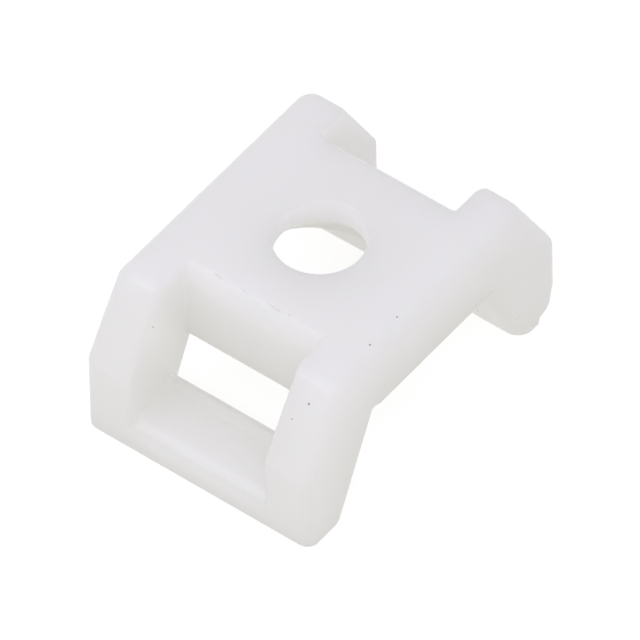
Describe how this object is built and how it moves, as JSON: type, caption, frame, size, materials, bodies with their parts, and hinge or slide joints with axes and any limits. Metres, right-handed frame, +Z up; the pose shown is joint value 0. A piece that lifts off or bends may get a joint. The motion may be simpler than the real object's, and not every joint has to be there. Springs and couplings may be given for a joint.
{
  "type": "cable tie mount",
  "caption": "Moulded saddle mount for a cable tie, with a countersunk screw hole, a strap slot at each end and an open cradle for the bundle.",
  "frame": {"origin": "middle of the footprint, on the plane the two end bars rest on", "axes": "+X along the length from one end bar to the other, +Y across the mount, +Z up from the feet to the mounting face"},
  "size_m": [0.015, 0.0104, 0.007],
  "materials": {
    "nylon": "satin, as moulded"
  },
  "bodies": {
    "root": {"saddle_mount": "nylon"}
  },
  "joints": []
}
